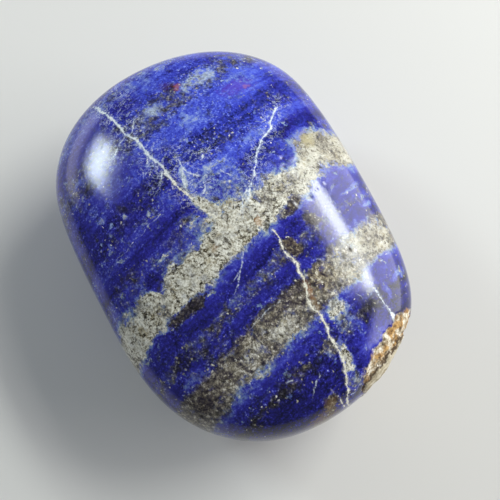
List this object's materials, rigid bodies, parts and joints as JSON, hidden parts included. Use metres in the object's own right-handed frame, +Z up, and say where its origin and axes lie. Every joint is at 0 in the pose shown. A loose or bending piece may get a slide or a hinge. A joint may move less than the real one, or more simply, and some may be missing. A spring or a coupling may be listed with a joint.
{
  "type": "palm stone",
  "caption": "Plump rounded-oblong polished lapis lazuli stone to hold in the palm, with pale and pyrite bands, white veins and a rough ochre corner; rests on a small flat.",
  "frame": {"origin": "middle of the bounding box, on the surface that the stone rests on", "axes": "+X along the stone towards the end with the ochre crust, +Y across it towards the crust's side, +Z up through the crown"},
  "size_m": [0.0698, 0.0504, 0.029],
  "materials": {
    "polished_lapis_lazuli": "hand-polished, glossy, with a matt natural crust at one corner"
  },
  "bodies": {
    "root": {"palm_stone": "polished_lapis_lazuli"}
  },
  "joints": []
}
